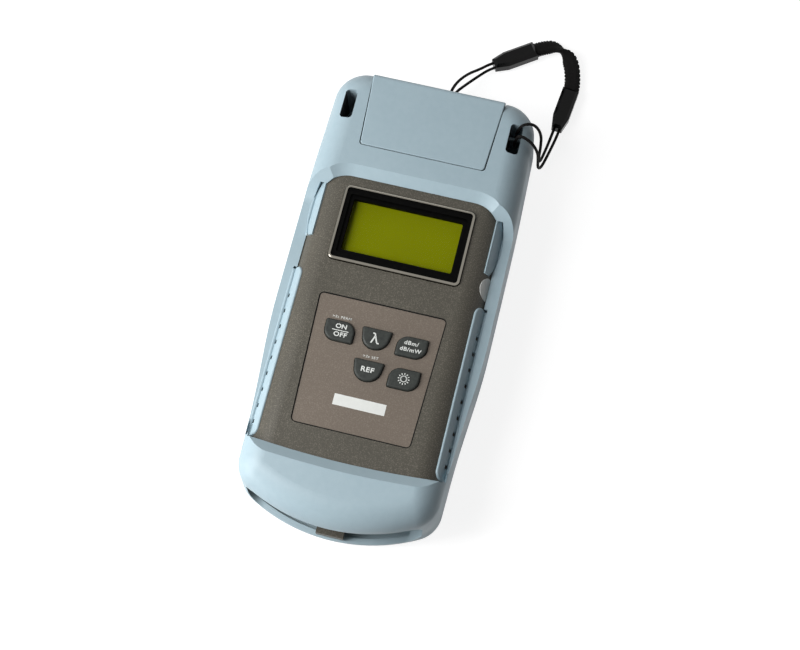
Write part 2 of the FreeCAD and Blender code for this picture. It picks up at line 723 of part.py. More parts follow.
def make_front_shell(grips):
    body = add_body("front_shell_form")
    case_form(body, "parting_height", CASE_FRONT, "0", rear=False)
    hollow(body, size("parting_height"))
    opening = add_sketch(body, "XY", CASE_FRONT)
    draw_round_box(
        opening, "rim_width + 2 * rim_gap", "rim_length + 2 * rim_gap", "rim_corner + rim_gap"
    )
    pocket(body, opening, "case_wall")
    recess = add_sketch(body, "XY", CASE_FRONT)
    draw_panel(recess, "panel_gap")
    pocket(body, recess, "panel_thick + panel_sink")
    for key in KEYS:
        hole = key_outline(body, key, CASE_FRONT, "key_gap")
        pocket(body, hole, "case_wall")
    for x, width in (("port_x", "port_neck"), ("jack_x", "jack_width")):
        hole = add_sketch(body, "XZ", along("case_at"))
        draw_circle(hole, x, "port_height", width)
        pocket(body, hole, "case_wall", up=True)
    for x, y in boss_places():
        boss = add_sketch(body, "XY", "parting_height")
        draw_circle(boss, x, y, "boss_width")
        pad(body, boss, f"{SHELL_INSIDE} + case_wall / 4 - parting_height")
        bore = add_sketch(body, "XY", "parting_height")
        draw_circle(bore, x, y, "screw_shank")
        depth = "boot_floor + screw_sink + screw_long + screw_play - parting_height"
        pocket(body, bore, depth, up=True)
    return make_cut("front_shell", body, *grips)


def make_rear_shell():
    """The rear shell: the battery bay, screw bosses, board posts and a tab at the foot."""
    body = add_body("rear_shell")
    case_form(body, "boot_floor", "parting_height", "0", front=False)
    hollow(body, size("parting_height"))
    inside = "(boot_floor + case_wall)"
    middle = along("bay_at + bay_length / 2")
    walls = add_sketch(body, "XY", inside)
    draw_box(
        walls, "0", middle, "bay_width + 2 * bay_wall", "bay_length + 2 * bay_wall"
    )
    pad(body, walls, "bay_depth")
    bay = add_sketch(body, "XY", "boot_floor")
    draw_box(bay, "0", middle, "bay_width", "bay_length")
    pocket(body, bay, "case_wall + bay_depth", up=True)
    pivot = add_sketch(body, "YZ", "0")
    draw_circle(
        pivot, along("bay_at + door_hinge_gap + door_pivot_inset"),
        "boot_floor + door_pivot_height", "pivot_width + pivot_play",
    )
    pocket(body, pivot, "bay_width + 2 * pivot_long", middle=True)
    for x, y in boss_places():
        boss = add_sketch(body, "XY", inside)
        draw_circle(boss, x, y, "boss_width")
        pad(body, boss, f"parting_height - {inside}")
        bore = add_sketch(body, "XY", "boot_floor")
        draw_circle(bore, x, y, "screw_shank + screw_play")
        pocket(body, bore, "parting_height", up=True)
        sink = add_sketch(body, "XY", "boot_floor")
        draw_circle(sink, x, y, "screw_head + screw_play")
        pocket(body, sink, "screw_head_deep + screw_sink", up=True)
    for x in ("-post_x", "post_x"):
        for y in ("post_head_at", "post_foot_at"):
            post = add_sketch(body, "XY", inside)
            draw_circle(post, x, along(y), "post_width")
            pad(body, post, f"board_height - {inside}")
    tab = add_sketch(body, "XY", "crescent_low + fit_gap")
    tip = f"({FOOT} + tab_inset)"
    root = f"({FOOT} + case_foot_gap + case_wall)"
    draw_box(tab, "tab_shift", f"({tip} + {root}) / 2", "tab_width", f"{root} - {tip}")
    pad(body, tab, "parting_height - crescent_low - fit_gap")
    return body


def make_case_screws():
    screws = []
    for x, y in boss_places():
        low = "boot_floor + screw_sink"
        up = V(0, 0, 1)
        head = add_cylinder("screw_head_solid", "screw_head", "screw_head_deep", x, y, low, up)
        shank = add_cylinder("screw_shank_solid", "screw_shank", "screw_long", x, y, low, up)
        screw = doc.addObject("Part::Fuse", "Screw")
        screw.Base = head
        screw.Tool = shank
        screws.append(screw)
    return make_group("case_screws", screws)


def make_group(label, solids):
    """Separate solids that share one node."""
    group = doc.addObject("Part::Compound", label)
    group.Links = solids
    group.Label = label
    doc.recompute()
    return group


def grip_section(body, place, side, proud, reach):
    """A grip's section across the meter: a band on the case's rounded edge."""
    centre_x = "(case_width / 2 - case_front_rim)"
    centre_z = f"({CASE_FRONT} - case_front_rim)"
    outer, inner = f"(case_front_rim + {proud})", "(case_front_rim - grip_seat)"

    def at(radius, angle):
        x = f"({centre_x} + {radius} * cos({angle}))"
        return x, f"({centre_z} + {radius} * sin({angle}))"

    corners = [
        (f"({centre_x} + {inner})", "grip_low"),
        (f"({centre_x} + {outer})", "grip_low"),
        (f"({centre_x} + {outer})", centre_z, outer),
        at(outer, reach),
        at(inner, reach) + (f"-{inner}",),
        (f"({centre_x} + {inner})", centre_z),
    ]
    sketch = add_sketch(body, "XZ", place)
    draw_outline(sketch, corners if side > 0 else mirror(corners))
    return sketch


def make_grip(side):
    """A soft grip: a notched lower pad, a lens-shaped upper pad and the web between them."""
    body = add_body("side_grip_right" if side > 0 else "side_grip_left")
    foot, head = along("upper_grip_at + upper_grip_length"), along("upper_grip_at")
    end = along("lower_grip_at + lower_grip_length")
    start = along("lower_grip_at")
    pad(body, grip_section(body, end, side, "grip_proud", "grip_reach"), "lower_grip_length",
        down=True)

    def radial(edge):
        """The short upper edges at the pad's two ends."""
        box = edge.BoundBox
        at_end = min(abs(box.YMin - size(y)) + abs(box.YMax - size(y)) for y in (end, start)) < 0.02
        high = box.ZMin > size(CASE_FRONT) - size("case_front_rim") / 2
        return at_end and high and edge.Curve.TypeId == "Part::GeomLine"

    round_edges(body, radial, "grip_corner")
    rim_radius = size("case_front_rim + grip_proud")
    centre = V(size("case_width / 2 - case_front_rim"), 0, size(f"{CASE_FRONT} - case_front_rim"))

    def outer_rim(edge):
        """The edges of the pad's outside, where it stands proud of the case."""
        box = edge.BoundBox
        if box.ZMin < centre.z + 0.1:
            return False
        spots = [edge.valueAt(p) for p in edge.ParameterRange]
        return all(abs(math.hypot(abs(p.x) - centre.x, p.z - centre.z) - rim_radius) < 0.02
                   for p in spots)

    round_edges(body, outer_rim, "grip_edge")
    notch = add_sketch(body, "XY", "notch_top")
    sign = "-" if side < 0 else ""
    place = f"({start} - notch_start)"
    draw_box(notch, f"{sign}(case_width / 2 + notch_reach)", place, "notch_reach * 4", "notch_width")
    cut = pocket(body, notch, "notch_top - grip_low")
    pattern = body.newObject("PartDesign::LinearPattern", "LinearPattern")
    pattern.Originals = [cut]
    pattern.Direction = (notch, ["V_Axis"])
    pattern.Reversed = True
    body.Tip = pattern
    pattern.setExpression("Length", bind("notch_pitch * (notch_count - 1)"))
    pattern.setExpression("Occurrences", bind("notch_count"))
    settle(body, pattern)
    pad(body, grip_section(body, foot, side, "grip_proud", "grip_reach"), "upper_grip_length",
        down=True)
    edge = f"({LENS_X} + sqrt(lens_round^2 - (upper_grip_length / 2)^2))"
    beyond = "(case_width / 2 + grip_proud + 1)"
    outside = [(beyond, foot), (beyond, head), (edge, head, "-lens_round"), (edge, foot)]
    lens = add_sketch(body, "XY", CASE_FRONT)
    draw_outline(lens, outside if side > 0 else mirror(outside))
    pocket(body, lens, f"{CASE_FRONT} - grip_low")
    web = along("lower_grip_at + 1")
    pad(body, grip_section(body, web, side, "0", "web_reach"),
        "lower_grip_at - upper_grip_at - upper_grip_length + 2", down=True)
    return body


def make_side_label():
    """The round label on the edge of the case: a disc that follows its rounding."""
    centre_x = "(case_width / 2 - case_front_rim)"
    centre_z = f"({CASE_FRONT} - case_front_rim)"
    length = "(label_width * 1.5)"
    start = f"{along('label_at')} - {length} / 2"
    outer = add_cylinder(
        "label_outer", "2 * (case_front_rim + label_thick)", length, centre_x, start, centre_z,
        V(0, 1, 0),
    )
    inner = add_cylinder(
        "label_inner", "2 * case_front_rim", length, centre_x, start, centre_z, V(0, 1, 0)
    )
    lean = math.radians(size("label_lean"))
    disc = add_cylinder(
        "label_disc", "label_width", "case_front_rim * 2", centre_x, along("label_at"), centre_z,
        V(math.cos(lean), 0, math.sin(lean)),
    )
    skin = doc.addObject("Part::Cut", "label_skin")
    skin.Base = outer
    skin.Tool = inner
    label = doc.addObject("Part::Common", "side_label")
    label.Base = skin
    label.Tool = disc
    label.Label = "side_label"
    doc.recompute()
    return label


def make_display():
    """The bright rim, the stepped dark frame, the window, the glass and its backlight."""
    rim = add_body("display_bezel")
    outside = add_sketch(rim, "XY", WINDOW_TOP)
    draw_round_box(outside, "rim_width", "rim_length", "rim_corner")
    rim_top = f"({CASE_FRONT} + rim_proud)"
    pad(rim, outside, f"{rim_top} - {WINDOW_TOP}")
    round_edges(rim, level(size(rim_top)), "rim_band * 0.6")
    inner = ("rim_width - 2 * rim_band", "rim_length - 2 * rim_band", "rim_corner - rim_band")
    inside = add_sketch(rim, "XY", rim_top)
    draw_round_box(inside, *inner)
    pocket(rim, inside, f"{rim_top} - {WINDOW_TOP}")
    frame = add_body("display_mask")
    outside = add_sketch(frame, "XY", WINDOW_TOP)
    draw_round_box(outside, *inner)
    top = f"({CASE_FRONT} + frame_sink)"
    pad(frame, outside, f"{top} - {WINDOW_TOP}")
    view = add_sketch(frame, "XY", top)
    draw_round_box(view, "view_width", "view_length", "view_corner")
    pocket(frame, view, f"{top} - {WINDOW_TOP}")
    step = add_sketch(frame, "XY", top)
    draw_round_box(
        step, "view_width + 2 * view_step", "view_length + 2 * view_step", "view_corner"
    )
    pocket(frame, step, "step_deep")
    glass_size = ("glass_width", "glass_length")
    window = add_box(
        "display_window", "0", along("display_at"), GLASS_TOP, *glass_size, "window_thick"
    )
    glass = add_box(
        "lcd_panel", "0", along("display_at"), f"{GLASS_TOP} - glass_thick", *glass_size,
        "glass_thick",
    )
    light = add_box(
        "backlight", "0", along("display_at"), BOARD_TOP, *glass_size, "backlight_thick"
    )
    return [rim, frame, window, glass, light]


def make_key_panel():
    """The thin sheet in the case's recess, cut out for the keys."""
    body = add_body("keypad_overlay")
    low = f"({CASE_FRONT} - panel_thick - panel_sink)"
    sketch = add_sketch(body, "XY", low)
    draw_panel(sketch, "0")
    pad(body, sketch, "panel_thick")
    top = f"({CASE_FRONT} - panel_sink)"
    for key in KEYS:
        hole = key_outline(body, key, top, "key_gap")
        pocket(body, hole, "panel_thick")
    return body


def make_key_contacts():
    """The dome of each key's switch, on the board."""
    domes = []
    for name, column, row, rounded, lean in KEYS:
        domes.append(
            add_cylinder(
                f"{name}_dome", "contact_width", "contact_thick",
                f"key_shift + {column} * key_pitch",
                along(f"key_row + {row} * key_row_pitch"), BOARD_TOP, V(0, 0, 1),
            )
        )
    return make_group("key_contacts", domes)


def make_board():
    """The circuit board, drilled over its four posts."""
    body = add_body("circuit_board")
    sketch = add_sketch(body, "XY", "board_height")
    draw_box(sketch, "0", along("board_at + board_length / 2"), "board_width", "board_length")
    pad(body, sketch, "board_thick")
    for x in ("-post_x", "post_x"):
        for y in ("post_head_at", "post_foot_at"):
            hole = add_sketch(body, "XY", "board_height")
            draw_circle(hole, x, along(y), "post_width / 2")
            pocket(body, hole, "board_thick", up=True)
    return body


def turned_along_port(label, x, steps, bores):
    """A turned piece on an axis along Y: steps and bores (start, end, width) from the head."""
    body = add_body(label)
    for start, end, width in steps:
        sketch = add_sketch(body, "XZ", along(end))
        draw_circle(sketch, x, "port_height", width)
        pad(body, sketch, f"({end}) - ({start})", down=True)
    for start, end, width in bores:
        sketch = add_sketch(body, "XZ", along(start))
        draw_circle(sketch, x, "port_height", width)
        pocket(body, sketch, f"({end}) - ({start})", up=True)
    return body


def make_port():
    """The fibre adapter, the detector behind it and the power socket."""
    wall = "(case_at + case_wall)"
    flange = "(case_at - port_flange_thick)"
    barrel = f"({flange} - port_reach)"
    adapter = turned_along_port(
        "fibre_adapter", "port_x",
        [
            ("case_at", wall, "port_neck"), (flange, "case_at", "port_flange"),
            (barrel, flange, "port_barrel"),
            (f"{barrel} - port_nose_reach", barrel, "port_nose"),
        ],
        [(f"{barrel} - port_nose_reach", wall, "ferrule_bore")],
    )
    end = f"({wall} + housing_long)"
    can = f"({wall} + diode_long)"
    housing = turned_along_port(
        "detector_housing", "port_x", [(wall, end, "housing_width")],
        [(wall, can, "diode_can"), (can, end, "diode_flange")],
    )
    diode = turned_along_port(
        "photodiode", "port_x",
        [(wall, can, "diode_can"), (can, f"{can} + diode_rim", "diode_flange")], [],
    )
    jack = turned_along_port(
        "dc_jack", "jack_x",
        [("case_at", wall, "jack_width"), (wall, f"{wall} + jack_long", "jack_body")],
        [("case_at", "case_at + jack_bore_deep", "jack_bore")],
    )
    pin = add_sketch(jack, "XZ", along("case_at + jack_bore_deep"))
    draw_circle(pin, "jack_x", "port_height", "jack_pin")
    pad(jack, pin, "jack_bore_deep - case_wall / 2", down=True)
    return [adapter, housing, diode, jack]


def make_battery_door():
    """The door of the battery bay, with two pivots at its head edge and a finger latch."""
    body = add_body("battery_door")
    head = along("bay_at + door_hinge_gap")
    foot = along("bay_at + bay_length - door_gap")
    half = "(bay_width / 2 - door_gap)"
    sketch = add_sketch(body, "XY", "boot_floor")
    draw_outline(sketch, [(f"-{half}", foot), (half, foot), (half, head), (f"-{half}", head)])
    pad(body, sketch, "case_wall")
    pivot = add_sketch(body, "YZ", "0")
    draw_circle(
        pivot, along("bay_at + door_hinge_gap + door_pivot_inset"),
        "boot_floor + door_pivot_height", "pivot_width",
    )
    pad(body, pivot, "bay_width + 2 * (pivot_long - door_gap)", middle=True)
    latch = add_sketch(body, "XY", "boot_floor")
    draw_box(latch, "0", along("bay_at + bay_length - 4"), "latch_width", "latch_deep * 2")
    pocket(body, latch, "latch_deep", up=True)
    return body


def make_cells():
    """The two cells side by side, and the springs and plates at their ends."""
    pieces = []
    springs = []
    plates = []
    z = "(boot_floor + case_wall + cell_gap + cell_width / 2)"
    reach = "(cell_length + cell_nub_long)"
    foot = along("bay_at + bay_length - plate_thick - spring_long")
    nub = f"({foot} + cell_length)"
    for label, sign in (("battery_left", "-"), ("battery_right", "")):
        x = f"{sign}(bay_width / 4)"
        can = add_cylinder("cell_can", "cell_width", "cell_length", x, foot, z, V(0, 1, 0))
        tip = add_cylinder("cell_tip", "cell_nub", reach, x, foot, z, V(0, 1, 0))
        cell = doc.addObject("Part::Fuse", label)
        cell.Base = can
        cell.Tool = tip
        cell.Label = label
        pieces.append(cell)
        low = along("bay_at + bay_length - plate_thick")
        springs.append(
            add_cylinder("cell_spring", "spring_width", "spring_long", x, low, z, V(0, 1, 0))
        )
        height = f"{z} - plate_width / 2"
        foot_plate = along("bay_at + bay_length - plate_thick / 2")
        head_plate = f"{nub} + cell_nub_long + plate_thick / 2"
        for middle in (foot_plate, head_plate):
            plates.append(
                add_box("cell_plate", x, middle, height, "plate_width", "plate_thick", "plate_width")
            )
    pieces.append(make_group("battery_springs", springs))
    pieces.append(make_group("contact_plates", plates))
    return pieces


def cord_path(points):
    """Straight runs joined by tangent arcs, each as large as its two runs allow."""
    edges = []
    radii = []
    start = points[0]
    for before, corner, after in zip(points, points[1:], points[2:]):
        back, onward = before - corner, after - corner
        half_turn = (math.pi - back.getAngle(onward)) / 2
        cut = 0.45 * min(back.Length, onward.Length)
        radii.append(cut / math.tan(half_turn))
        first = corner + V(back).normalize() * cut
        last = corner + V(onward).normalize() * cut
        middle_way = (V(back).normalize() + V(onward).normalize()).normalize()
        inside = radii[-1] / math.cos(half_turn) - radii[-1]
        edges.append(Part.LineSegment(start, first).toShape())
        edges.append(Part.Arc(first, corner + middle_way * inside, last).toShape())
        start = last
    edges.append(Part.LineSegment(start, points[-1]).toShape())
    return Part.Wire(edges), radii


def make_cord(label, points, width):
    """A cord's tube along its route."""
    path, radii = cord_path(points)
    way = points[1] - points[0]
    ring = Part.Wire([Part.Circle(points[0], way, width / 2).toShape()])
    tube = path.makePipeShell([ring], True, False)
    expected = math.pi * width**2 / 4 * path.Length
    print(label, "length", round(path.Length, 1), "radii", [round(r, 1) for r in radii],
          "volume ratio", round(tube.Volume / expected, 4))
    part = doc.addObject("Part::Feature", label)
    part.Label = label
    part.Shape = tube
    return part


# The connectors lie flat: the middle of the end that its cord enters, and the way it points.
CONNECTOR_HEIGHT = 3.3
CONNECTOR_A = (V(16.2, 116.3, CONNECTOR_HEIGHT), 35)
CONNECTOR_B = (V(48.2, 93.3, CONNECTOR_HEIGHT), 83.5)
STRAND = 1.1


def connector_end(connector, across=0, beyond=0):
    """A point of a connector's cord end, moved across its axis and along it."""
    place, angle = connector
    way = V(math.cos(math.radians(angle)), math.sin(math.radians(angle)), 0)
    side = V(-way.y, way.x, 0)
    return place + side * across + way * beyond


def make_connector(label, connector):
    """A connector: a flat faceted block that narrows to its cord end."""
    body = add_body(label)
    nose, half = "(connector_nose / 2)", "(connector_width / 2)"
    sketch = add_sketch(body, "XY", "-connector_thick / 2")
    shoulder = "(connector_long * 0.3)"
    draw_outline(
        sketch,
        [
            ("0", f"-{nose}"), (shoulder, f"-{half}"), ("connector_long", f"-{half}"),
            ("connector_long", half), (shoulder, half), ("0", nose),
        ],
    )
    pad(body, sketch, "connector_thick")

    def rim(edge):
        box = edge.BoundBox
        return abs(box.ZMax - box.ZMin) < 0.01

    round_edges(body, rim, "connector_edge", "Chamfer")
    place, angle = connector
    body.Placement = FreeCAD.Placement(place, FreeCAD.Rotation(V(0, 0, 1), angle))
    return body


def make_strap():
    """The wrist strap: a loop on the lug, two connectors, the band and a loop in the slot."""
    width = size("cord_width")
    long = size("connector_long")
    lug_route = [
        connector_end(CONNECTOR_A, STRAND), connector_end(CONNECTOR_A, STRAND, -2.5),
        V(11.4, 112.6, 5.2), V(6.6, 106.2, 10.2),
        V(3.1, 98.6, 14.2), V(2.0, 91.2, 14.6), V(2.0, 91.2, 7.8), V(3.2, 97.8, 7.4),
        V(7.6, 104.8, 5.2), V(12.6, 111.6, 3.6), connector_end(CONNECTOR_A, -STRAND, -2.5),
        connector_end(CONNECTOR_A, -STRAND),
    ]
    slot_route = [
        connector_end(CONNECTOR_B, STRAND), connector_end(CONNECTOR_B, STRAND, -2.5),
        V(45.9, 84.8, 2.6), V(44.6, 77.2, 3.6),
        V(43.9, 74.6, 12.0), V(43.9, 75.6, 22.0), V(43.2, 77.0, 31.5), V(39.6, 77.8, 37.4),
        V(35.2, 75.4, 39.2), V(33.9, 75.0, 33.4), V(33.5, 75.0, 26.4), V(33.5, 71.2, 26.4),
        V(33.9, 71.2, 33.4), V(35.2, 71.0, 39.2), V(40.3, 70.0, 37.0), V(43.4, 69.6, 30.0),
        V(44.0, 70.8, 20.0), V(44.4, 71.4, 10.5), V(45.6, 75.0, 3.4), V(47.6, 84.0, 2.6),
        connector_end(CONNECTOR_B, -STRAND, -2.5), connector_end(CONNECTOR_B, -STRAND),
    ]
    band_route = [
        connector_end(CONNECTOR_A, 0, long), connector_end(CONNECTOR_A, 0, long + 3),
        V(40.5, 131.4, CONNECTOR_HEIGHT), V(47.6, 126.4, CONNECTOR_HEIGHT),
        connector_end(CONNECTOR_B, 0, long + 3), connector_end(CONNECTOR_B, 0, long),
    ]
    return [
        make_cord("strap_cord_lug", lug_route, width),
        make_connector("strap_connector_a", CONNECTOR_A),
        make_cord("strap_band", band_route, size("band_width")),
        make_connector("strap_connector_b", CONNECTOR_B),
        make_cord("strap_cord_slot", slot_route, width),
    ]


grips = [make_grip(1), make_grip(-1)]
nodes = [make_boot(), make_cover(), make_hinge_pin(), make_front_shell(grips), make_rear_shell()]
nodes += grips
nodes += make_display()
nodes += [make_key_panel()]
nodes += [make_key(key) for key in KEYS]
nodes += [make_key_contacts(), make_board()]
nodes += make_port()
nodes += [make_side_label(), make_battery_door()]
nodes += make_cells()
nodes += [make_case_screws()]
nodes += make_strap()
doc.recompute()

for item in doc.Objects:
    if {"Invalid", "Error"} & set(item.State):
        raise ValueError(f"{item.Label}: {item.State}")
for node in nodes:
    if node.Shape.isNull() or not node.Shape.isValid():
        raise ValueError(f"{node.Label} has no valid shape")

os.makedirs("parts", exist_ok=True)
for node in nodes:
    node.Shape.exportStep(f"parts/{node.Label}.step")
print(len(nodes), "nodes")
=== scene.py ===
import math

import bmesh
import bpy
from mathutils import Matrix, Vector


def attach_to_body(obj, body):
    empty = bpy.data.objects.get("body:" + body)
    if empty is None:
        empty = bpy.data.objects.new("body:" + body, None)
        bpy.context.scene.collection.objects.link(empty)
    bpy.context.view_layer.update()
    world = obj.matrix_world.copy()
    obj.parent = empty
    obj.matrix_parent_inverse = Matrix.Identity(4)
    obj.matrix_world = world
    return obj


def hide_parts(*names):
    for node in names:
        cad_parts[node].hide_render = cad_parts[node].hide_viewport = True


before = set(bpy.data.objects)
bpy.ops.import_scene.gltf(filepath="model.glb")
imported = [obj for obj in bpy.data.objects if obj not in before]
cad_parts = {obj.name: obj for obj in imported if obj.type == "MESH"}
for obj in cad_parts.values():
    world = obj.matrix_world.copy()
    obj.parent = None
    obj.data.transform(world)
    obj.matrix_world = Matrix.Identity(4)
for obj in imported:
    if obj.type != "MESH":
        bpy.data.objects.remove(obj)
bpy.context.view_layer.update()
scene = bpy.context.scene
scene.view_settings.view_transform = "Standard"


# Places that are read from the CAD nodes.


def box_of(node):
    """The lowest and the highest corner of a CAD node, in metres."""
    spots = [vertex.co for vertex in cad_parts[node].data.vertices]
    return [Vector([limit(spot[axis] for spot in spots) for axis in range(3)]) for limit in (min, max)]


def on_top(node, x=0.0, y=0.0):
    """A place on a CAD node's top, this far in millimetres from the middle of its plan."""
    low, high = box_of(node)
    return Vector(((low.x + high.x) / 2 + x / 1000, (low.y + high.y) / 2 + y / 1000, high.z))


KEY_NODES = ("on_off_key", "wavelength_key", "unit_key", "reference_key", "backlight_key")
PANEL_LOW, PANEL_HIGH = box_of("keypad_overlay")


# Materials. A noise's scale is per metre. The part of its values that is spread out lies between
# two limits. The curve of screen colours has a straight start, up to a value and with a divisor.

NOISE_LOW, NOISE_HIGH = 0.35, 0.65
STRAIGHT_UP_TO = 10
STRAIGHT_DIVISOR = 3294


def linear(red, green, blue):
    """A screen colour, with channels from 0 to 255, as the shader's linear one."""
    return tuple(
        ((v / 255 + 0.055) / 1.055) ** 2.4 if v > STRAIGHT_UP_TO else v / STRAIGHT_DIVISOR
        for v in (red, green, blue)
    )


def darker(colour, share):
    return tuple(share * v for v in colour)


class Surface:
    """A material's node tree, built step by step."""

    def __init__(self, name, colour, roughness, metallic=0.0):
        self.material = bpy.data.materials.new(name)
        self.material.use_nodes = True
        self.tree = self.material.node_tree
        self.shader = self.tree.nodes["Principled BSDF"]
        self.set("Base Color", (*colour, 1))
        self.set("Roughness", roughness)
        self.set("Metallic", metallic)
        self.colour = colour
        self.position = self.tree.nodes.new("ShaderNodeTexCoord").outputs["Object"]

    def set(self, socket, value):
        self.shader.inputs[socket].default_value = value

    def link(self, output, target):
        self.tree.links.new(output, target)

    def node(self, kind, **inputs):
        """A new node, with the sockets that have these names set."""
        made = self.tree.nodes.new(kind)
        for name, value in inputs.items():
            made.inputs[name.replace("_", " ")].default_value = value
        return made

    def noise(self, scale, detail):
        made = self.node("ShaderNodeTexNoise", Scale=scale, Detail=detail)
        self.link(self.position, made.inputs["Vector"])
        return made.outputs["Fac"]

    def spread(self, value, low, high, start=NOISE_LOW, end=NOISE_HIGH):
        """A value from its own range into another one."""
        made = self.node(
            "ShaderNodeMapRange", From_Min=start, From_Max=end, To_Min=low, To_Max=high
        )
        self.link(value, made.inputs["Value"])
        return made.outputs["Result"]

    def tint(self, factor, other):
        """The base colour turns to another one where the factor is high."""
        mix = self.node("ShaderNodeMix")
        mix.data_type = "RGBA"
        socket = self.shader.inputs["Base Color"]
        if socket.is_linked:
            self.link(socket.links[0].from_socket, mix.inputs["A"])
        else:
            mix.inputs["A"].default_value = (*self.colour, 1)
        mix.inputs["B"].default_value = (*other, 1)
        self.link(factor, mix.inputs["Factor"])
        self.link(mix.outputs["Result"], socket)

    def mottle(self, scale, detail, share, other):
        """Soft patches of another colour, up to this share of it."""
        self.tint(self.spread(self.noise(scale, detail), 0.0, share), other)

    def rough(self, scale, detail, low, high):
        """A roughness that wanders between two values."""
        uneven = self.spread(self.noise(scale, detail), low, high)
        self.link(uneven, self.shader.inputs["Roughness"])

    def bump(self, height, strength, distance):
        made = self.node("ShaderNodeBump", Strength=strength, Distance=distance)
        self.link(height, made.inputs["Height"])
        normal = self.shader.inputs["Normal"]
        if normal.is_linked:
            self.link(normal.links[0].from_socket, made.inputs["Normal"])
        self.link(made.outputs["Normal"], normal)

    def grain(self, scale, detail, strength, distance):
        """Fine bumps over the whole surface."""
        self.bump(self.noise(scale, detail), strength, distance)


RUBBER_BLUE = linear(161, 182, 191)
CELL_BLUE = linear(40, 44, 60)


def boot_rubber(name):
    """Smooth light blue rubber with a fine skin and slight handling marks."""
    made = Surface(name, RUBBER_BLUE, 0.5)
    made.mottle(scale=45, detail=4, share=0.3, other=linear(152, 173, 183))
    made.mottle(scale=420, detail=3, share=0.18, other=linear(176, 194, 202))
    made.rough(scale=70, detail=5, low=0.42, high=0.56)
    made.grain(scale=1500, detail=3, strength=0.10, distance=0.0002)
    made.grain(scale=260, detail=2, strength=0.06, distance=0.0004)
    made.set("Specular IOR Level", 0.45)
    made.set("Coat Weight", 0.06)
    made.set("Coat Roughness", 0.35)
    return made.material


def case_plastic(name, colour, fleck):
    """Plastic with a fine sparkling texture."""
    made = Surface(name, colour, 0.42)
    made.tint(made.spread(made.noise(2600, 2), 0.0, 0.5, start=0.5, end=0.72), fleck)
    made.mottle(scale=38, detail=3, share=0.22, other=darker(colour, 0.75))
    made.rough(scale=1900, detail=2, low=0.34, high=0.52)
    made.grain(scale=2300, detail=3, strength=0.35, distance=0.00012)
    made.set("Specular IOR Level", 0.25)
    return made.material


def key_rubber(name):
    made = Surface(name, linear(42, 45, 43), 0.5)
    made.set("Specular IOR Level", 0.25)
    made.mottle(scale=900, detail=3, share=0.4, other=linear(66, 70, 66))
    made.rough(scale=300, detail=3, low=0.42, high=0.6)
    made.grain(scale=1800, detail=2, strength=0.15, distance=0.0001)
    return made.material


def chrome(name):
    made = Surface(name, linear(134, 130, 121), 0.14, 1.0)
    made.rough(scale=500, detail=3, low=0.08, high=0.2)
    made.mottle(scale=60, detail=2, share=0.15, other=linear(108, 104, 96))
    return made.material


def black_plastic(name, shade, roughness, shine=0.5):
    made = Surface(name, linear(shade, shade, shade), roughness)
    made.mottle(scale=700, detail=3, share=0.5, other=linear(shade + 8, shade + 8, shade + 7))
    made.rough(scale=400, detail=3, low=roughness - 0.06, high=roughness + 0.1)
    made.grain(scale=1400, detail=2, strength=0.12, distance=0.0001)
    made.set("Specular IOR Level", shine)
    return made.material


def metal(name, colour, roughness):
    made = Surface(name, colour, roughness, 1.0)
    made.rough(scale=900, detail=3, low=roughness * 0.8, high=roughness * 1.3)
    made.mottle(scale=200, detail=3, share=0.3, other=darker(colour, 0.7))
    return made.material


def plain(name, colour, roughness, fleck=None):
    made = Surface(name, colour, roughness)
    made.mottle(scale=600, detail=3, share=0.25, other=fleck or darker(colour, 0.85))
    made.rough(scale=500, detail=2, low=roughness * 0.9, high=roughness * 1.1)
    return made.material


def screen(name):
    """The reflective display: yellow-green and faintly mottled."""
    made = Surface(name, linear(132, 139, 2), 0.5)
    made.mottle(scale=1500, detail=3, share=0.35, other=linear(110, 117, 1))
    made.mottle(scale=28, detail=2, share=0.3, other=linear(141, 148, 4))
    made.set("Specular IOR Level", 0.02)
    return made.material


def window_glass(name):
    """The clear window: mostly see-through, with a faint reflection."""
    made = Surface(name, (0.02, 0.02, 0.02), 0.06)
    made.set("Alpha", 0.05)
    made.rough(scale=300, detail=2, low=0.03, high=0.09)
    return made.material


def cord_weave(name):
    made = Surface(name, linear(11, 10, 10), 0.75)
    wave = made.node("ShaderNodeTexWave", Scale=700, Distortion=4)
    made.link(made.position, wave.inputs["Vector"])
    made.tint(made.spread(wave.outputs["Fac"], 0.0, 0.5, start=0.2, end=0.8), linear(30, 29, 28))
    made.bump(wave.outputs["Fac"], 0.5, 0.0002)
    made.set("Specular IOR Level", 0.1)
    return made.material


def shaded_rim(name, start=0.033, end=0.0355):
    """Painted shade on rubber: it darkens from one height to another, towards the top of a narrow gap.
    """
    made = Surface(name, RUBBER_BLUE, 0.6)
    split = made.node("ShaderNodeSeparateXYZ")
    made.link(made.position, split.inputs["Vector"])
    made.tint(made.spread(split.outputs["Z"], 0.0, 1.0, start, end), linear(40, 47, 50))
    made.rough(scale=70, detail=5, low=0.5, high=0.65)
    return made.material


